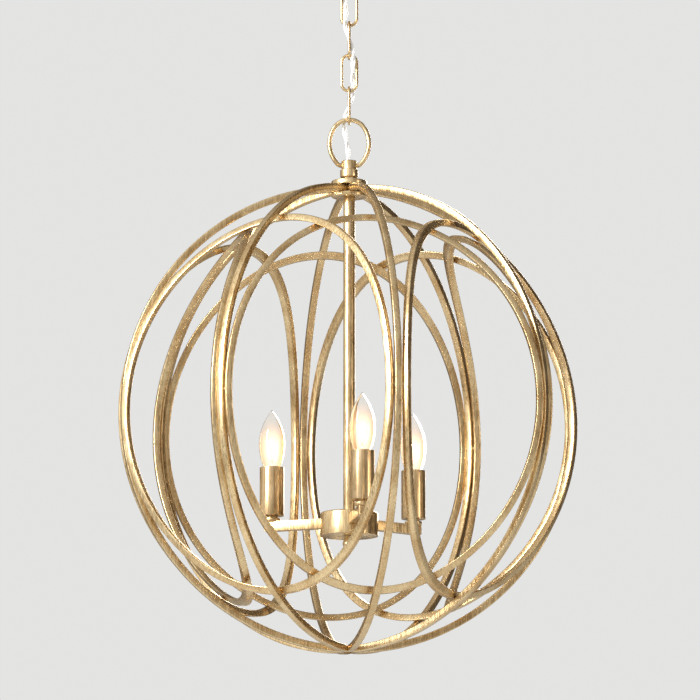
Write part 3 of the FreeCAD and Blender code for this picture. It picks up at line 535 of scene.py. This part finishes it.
def add_cord():
    """Two twisted strands, cut into stretches at each stretch's top and bottom."""
    line = cord_line()
    strands = ([], [])
    normal = Vector((1, 0, 0))
    length = 0
    for count, here in enumerate(line):
        ahead = (line[min(count + 1, len(line) - 1)] - line[max(count - 1, 0)]).normalized()
        normal = (normal - ahead * normal.dot(ahead)).normalized()
        across = ahead.cross(normal)
        if count:
            length += (here - line[count - 1]).length
        angle = 2 * math.pi * length / STRAND_TURN
        offset = (normal * math.cos(angle) + across * math.sin(angle)) * STRAND_OFFSET
        strands[0].append(here + offset)
        strands[1].append(here - offset)
    for number, (above, below, top, bottom, start, end) in enumerate(STRETCHES, 1):
        span = [
            count
            for count, here in enumerate(line)
            if bottom * MM - LAP <= here.z <= top * MM + LAP
        ]
        meshes = [
            tube_along([strand[count] for count in span], lambda share: STRAND_RADIUS, sides=10)
            for strand in strands
        ]
        piece = finished("power_cord_%d" % number, joined(meshes), CORD, crease=80)
        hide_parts("power_cord")
        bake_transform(piece)


# ---------------------------------------------------------------- cage
RIB_STEPS = 96
OVAL_STEPS = 160


def at_azimuth(angle, x, y, z):
    """A point given for the front side, turned round the middle line."""
    return Vector((x * math.cos(angle) - y * math.sin(angle), x * math.sin(angle) + y * math.cos(angle), z))


def add_ribs():
    """Half hoops from the crown, where they meet the core pipe, to the mitre at the bottom."""
    mitre = 1 / math.tan(math.pi / BARS)
    for number in range(BARS):
        angle = CAGE_TURN + 2 * math.pi * number / BARS

        def skin(share, across, outward, angle=angle):
            width = CAGE_RADIUS + outward
            height = RIB_HALF_HEIGHT + outward
            foot = abs(across) * mitre
            head = max(foot, math.sqrt(max(CORE_RADIUS**2 - across**2, 0)))
            first = math.asin(head / width)
            last = math.pi - math.asin(foot / width)
            turn = first + (last - first) * share
            return at_azimuth(angle, across, -width * math.sin(turn), RIB_MIDDLE + height * math.cos(turn))

        bar("rib_bar_%d" % (number + 1), "rib_%d" % (number + 1), skin, RIB_STEPS, False)


def add_ovals():
    """Tall loops between neighbouring ribs, bent inward at top and bottom."""
    offset = BAR_SIDE / 2 + BAR_SIDE / math.sqrt(2) + WELD_GAP
    plan = math.sqrt(CAGE_RADIUS**2 - offset**2)
    half_width = (plan - offset) / math.sqrt(2)
    distance = (plan + offset) / math.sqrt(2)
    for number in range(BARS):
        angle = CAGE_TURN + 2 * math.pi * number / BARS
        step = distance - OVAL_REACHES[number % 2]
        bend = (OVAL_HALF_HEIGHT**2 + step**2) / (2 * step)

        def skin(share, across, outward, angle=angle, bend=bend):
            turn = 2 * math.pi * share
            x = (half_width + outward) * math.sin(turn)
            z = (OVAL_HALF_HEIGHT + outward) * math.cos(turn)
            reach = distance - bend + math.sqrt(bend**2 - z**2) + across
            return at_azimuth(angle, x, -reach, CAGE_MIDDLE + z)

        bar("oval_bar_%d" % (number + 1), "oval_%d" % (number + 1), skin, OVAL_STEPS, True)


# ---------------------------------------------------------------- bulbs
COLLAR_DROP = 3.7 * MM
SHELL_RIDGES = 4
RIDGE_STEPS = 6
RIDGE_DEPTH = 0.28 * MM
SUPPORT_FOOT = 14 * MM
SUPPORT_RADIUS = 0.25 * MM
ARCH_FOOT = 38 * MM
ARCH_WIDTH = 6 * MM
ARCH_RISE = 5 * MM
COIL_STEPS = 240
COIL_TURNS = 26
COIL_RADIUS = 0.75 * MM
HOT_RADIUS = 0.28 * MM


def glass_profile(inset):
    """The flame shape's outline from its neck to its tip, moved in by inset."""
    lower = (BELLY_HEIGHT**2 + (GLASS_BELLY - GLASS_NECK) ** 2) / (2 * (GLASS_BELLY - GLASS_NECK))
    upper = (TIP_HEIGHT**2 + GLASS_BELLY**2) / (2 * GLASS_BELLY)
    points = []
    for step in range(25):
        height = -BELLY_HEIGHT * (1 - step / 24)
        radius = GLASS_BELLY - lower + math.sqrt((lower - inset) ** 2 - height**2)
        points.append((radius, BELLY + height))
    top = math.sqrt((upper - inset) ** 2 - (upper - GLASS_BELLY) ** 2)
    last = math.asin(top / (upper - inset))
    for step in range(1, 31):
        turn = last * step / 30
        radius = GLASS_BELLY - upper + (upper - inset) * math.cos(turn)
        points.append((max(radius, 0), BELLY + (upper - inset) * math.sin(turn)))
    return points


def add_glass(number, middle, body):
    outside = glass_profile(0)
    inside = glass_profile(GLASS_WALL)
    glass = lathe(outside + inside[::-1] + [outside[0]], middle)
    name = "bulb_flame_glass_%d" % number
    finished(name, glass, FLAME_GLASS, body, ["bulb_glass_%d" % number], 60)


def add_base(number, middle, body):
    """The ridged screw shell under its plain collar, and the contact at its foot."""
    shoulder = GLASS_BOTTOM - COLLAR_DROP
    shell = [(0, BASE_FOOT + 1.2 * MM), (3.2 * MM, BASE_FOOT + 1.4 * MM)]
    steps = SHELL_RIDGES * RIDGE_STEPS
    for step in range(steps + 1):
        share = step / steps
        wave = RIDGE_DEPTH * math.cos(2 * math.pi * SHELL_RIDGES * share)
        height = BASE_FOOT + 3 * MM + share * (shoulder - BASE_FOOT - 4 * MM)
        shell.append((SHELL_RADIUS - 0.3 * MM + wave, height))
    shell += [(SHELL_RADIUS - 0.4 * MM, shoulder), (6.6 * MM, shoulder + 0.1 * MM)]
    shell += [(6.95 * MM, shoulder + 0.6 * MM), (6.95 * MM, GLASS_BOTTOM - 0.2 * MM)]
    shell += [(6.3 * MM, GLASS_BOTTOM), (0, GLASS_BOTTOM)]
    turned = lathe(shell, middle, 48)
    piece = finished("bulb_screw_shell_%d" % number, turned, NICKEL, body, crease=50)
    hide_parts("bulb_base_%d" % number)
    contact = [(0, BASE_FOOT), (1.6 * MM, BASE_FOOT + 0.3 * MM)]
    contact += [(2.1 * MM, BASE_FOOT + 1.3 * MM), (0, BASE_FOOT + 1.3 * MM)]
    finished("bulb_contact_%d" % number, lathe(contact, middle, 32), NICKEL, body)


def add_stem(number, middle, body):
    stem = [(0, 0.1), (5.2, 0.1), (3.4, 3), (2.2, 7), (1.8, 13), (1.5, 17), (0, 18)]
    stem = [(radius * MM, GLASS_BOTTOM + height * MM) for radius, height in stem]
    finished("bulb_stem_%d" % number, lathe(stem, middle, 32), GLASS, body, crease=80)


def add_filament(number, angle, middle, body):
    """A coiled arch of hot wire on two bent supports."""
    top = GLASS_BOTTOM + ARCH_FOOT
    low = GLASS_BOTTOM + SUPPORT_FOOT
    wires = []
    for side in (-1, 1):
        wire = [Vector((side * 0.7 * MM, 0, low)), Vector((side * 1.6 * MM, 0, low + 6 * MM))]
        wire += [Vector((side * 5.2 * MM, 0, low + 15 * MM)), Vector((side * ARCH_WIDTH, 0, top))]
        line = [at_azimuth(angle, *point) + middle for point in wire]
        wires.append(tube_along(line, lambda share: SUPPORT_RADIUS, 8))
    finished("bulb_supports_%d" % number, joined(wires), NICKEL, body, crease=80)

    coil = []
    for step in range(COIL_STEPS + 1):
        share = step / COIL_STEPS
        sweep = math.pi * share
        turn = 2 * math.pi * COIL_TURNS * share
        outward = COIL_RADIUS * math.cos(turn)
        x = -(ARCH_WIDTH + outward) * math.cos(sweep)
        z = top + (ARCH_RISE + outward) * math.sin(sweep)
        coil.append(at_azimuth(angle, x, COIL_RADIUS * math.sin(turn), z) + middle)
    wire = tube_along(coil, lambda share: HOT_RADIUS, 6)
    finished("bulb_filament_%d" % number, wire, HOT, body, crease=80)


def add_bulb(number):
    angle = ARM_TURN + 2 * math.pi * (number - 1) / LAMPS
    middle = at_azimuth(angle, 0, -ARM_REACH, 0)
    body = "bulb_%d" % number
    add_glass(number, middle, body)
    add_base(number, middle, body)
    add_stem(number, middle, body)
    add_filament(number, angle, middle, body)


# ---------------------------------------------------------------- carried-over pieces
def gold(edge=0.35):
    """Leaf on a piece whose sharp edges are rounded by so many millimetres."""
    return GOLD, "antique_gold", edge * MM


def steel(edge=0.35):
    return ZINC, "zinc_steel", edge * MM


CARRIED = {
    "ceiling_set": {
        "canopy": gold(0.3),
        "canopy_nut": gold(),
        "canopy_loop": gold(),
        "mounting_strap": steel(),
        "mounting_nipple": steel(0.2),
        "strap_nut": steel(0.3),
    },
    "ring": {"suspension_ring": gold()},
    "finial_set": {"finial": gold()},
    "fixture": {
        "loop_collar": gold(),
        "hub_lock_nut": gold(),
        "upper_hub_disc": gold(),
        "lower_hub_disc": gold(),
        "hub_nipple": steel(0.2),
        "equator_rivets": gold(0),
        "main_rod": gold(0.3),
        "arm_hub": gold(0.3),
        "arm_hub_cover": gold(0.3),
        "centre_stud": steel(0.2),
        "stud_nut": steel(0.3),
        "candle_seats": gold(),
        "socket_nipples": steel(0.2),
        "arm_leads": (WHITE, "lead_white", 0.2 * MM),
    },
}
for number in range(1, LINKS + 1):
    CARRIED["link_%d" % number] = {"chain_link_%d" % number: gold(0)}
for number in range(1, LAMPS + 1):
    CARRIED["fixture"]["arm_%d" % number] = gold(0.5)
    CARRIED["fixture"]["candle_cup_%d" % number] = (GOLD_SLEEVE, "antique_gold", 0.25 * MM)
    CARRIED["fixture"]["lamp_socket_%d" % number] = (BLACK, "socket_black", 0.4 * MM)


def add_carried():
    for body, nodes in CARRIED.items():
        for node, (material, slot, round_edge) in nodes.items():
            edged(node, material, body, round_edge)


# ---------------------------------------------------------------- stage
FLOOR_DROP = 2.5
FLOOR_HALF = 12
PALE_STRENGTH = 0.9
BRIGHT_SIDE = (-0.7, -0.55, 0.4)


def area_light(name, place, target, size, power, color):
    data = bpy.data.lights.new(name, "AREA")
    data.shape = "RECTANGLE"
    data.size, data.size_y = size
    data.energy = power
    data.color = color
    lamp = bpy.data.objects.new(name, data)
    lamp.location = place
    lamp.rotation_euler = (Vector(target) - Vector(place)).to_track_quat("-Z", "Y").to_euler()
    bpy.context.collection.objects.link(lamp)


def add_floor():
    mesh = bmesh.new()
    bmesh.ops.create_grid(mesh, x_segments=1, y_segments=1, size=FLOOR_HALF)
    data = bpy.data.meshes.new("floor")
    mesh.to_mesh(data)
    mesh.free()
    floor = bpy.data.objects.new("floor", data)
    floor.location.z = -FLOOR_DROP
    shader = Shader("floor_paint")
    tone = shader.ramp(shader.noise(3), (0.3, (0.56, 0.555, 0.545)), (0.7, (0.59, 0.585, 0.575)))
    data.materials.append(shader.set(Base_Color=tone, Roughness=0.8))
    bpy.context.collection.objects.link(floor)


def backdrop(tree, value, *stops):
    """A background whose colour follows a value that runs from -1 to 1."""
    lift = tree.nodes.new("ShaderNodeMapRange")
    lift.inputs["From Min"].default_value = -1
    ramp = tree.nodes.new("ShaderNodeValToRGB")
    while len(ramp.color_ramp.elements) < len(stops):
        ramp.color_ramp.elements.new(0.5)
    for element, (position, color) in zip(ramp.color_ramp.elements, stops):
        element.position = position
        element.color = (*color, 1)
    background = tree.nodes.new("ShaderNodeBackground")
    tree.links.new(value, lift.inputs["Value"])
    tree.links.new(lift.outputs["Result"], ramp.inputs["Fac"])
    tree.links.new(ramp.outputs["Color"], background.inputs["Color"])
    return background


def add_room():
    """A plain pale backdrop, and a room with one bright side that only the metal mirrors."""
    world = bpy.data.worlds.new("studio")
    bpy.context.scene.world = world
    world.use_nodes = True
    tree = world.node_tree
    place = tree.nodes.new("ShaderNodeTexCoord").outputs["Generated"]
    split = tree.nodes.new("ShaderNodeSeparateXYZ")
    tree.links.new(place, split.inputs[0])
    pale = backdrop(tree, split.outputs["Z"], (0.38, (0.72, 0.72, 0.71)), (0.52, (0.86, 0.86, 0.85)))
    pale.inputs["Strength"].default_value = PALE_STRENGTH

    across = tree.nodes.new("ShaderNodeVectorMath")
    across.operation = "DOT_PRODUCT"
    across.inputs[1].default_value = Vector(BRIGHT_SIDE).normalized()
    tree.links.new(place, across.inputs[0])
    mirrored = backdrop(
        tree,
        across.outputs["Value"],
        (0.25, (0.05, 0.035, 0.025)),
        (0.55, (0.22, 0.19, 0.16)),
        (0.9, (0.95, 0.93, 0.88)),
    )

    ray = tree.nodes.new("ShaderNodeLightPath")
    mirror_only = tree.nodes.new("ShaderNodeMath")
    mirror_only.operation = "SUBTRACT"
    mirror_only.use_clamp = True
    tree.links.new(ray.outputs["Is Glossy Ray"], mirror_only.inputs[0])
    tree.links.new(ray.outputs["Is Transmission Ray"], mirror_only.inputs[1])
    blend = tree.nodes.new("ShaderNodeMixShader")
    tree.links.new(mirror_only.outputs[0], blend.inputs[0])
    tree.links.new(pale.outputs[0], blend.inputs[1])
    tree.links.new(mirrored.outputs[0], blend.inputs[2])
    tree.links.new(blend.outputs[0], tree.nodes["World Output"].inputs[0])


def add_stage():
    add_floor()
    add_room()
    middle = (0, 0, CAGE_MIDDLE)
    area_light("key", (-2.6, -2.2, 0.6), middle, (0.7, 2.0), 190, (1, 0.98, 0.95))
    area_light("fill", (2.8, -1.6, -0.6), middle, (0.4, 1.6), 22, (1, 0.84, 0.66))
    area_light("back", (0.8, 2.8, 0.2), middle, (1.0, 1.4), 40, (1, 0.95, 0.88))
    bpy.context.scene.view_settings.view_transform = "Standard"


add_camera()
add_cord()
add_ribs()
add_ovals()
for number in range(1, LAMPS + 1):
    add_bulb(number)
add_carried()
add_stage()
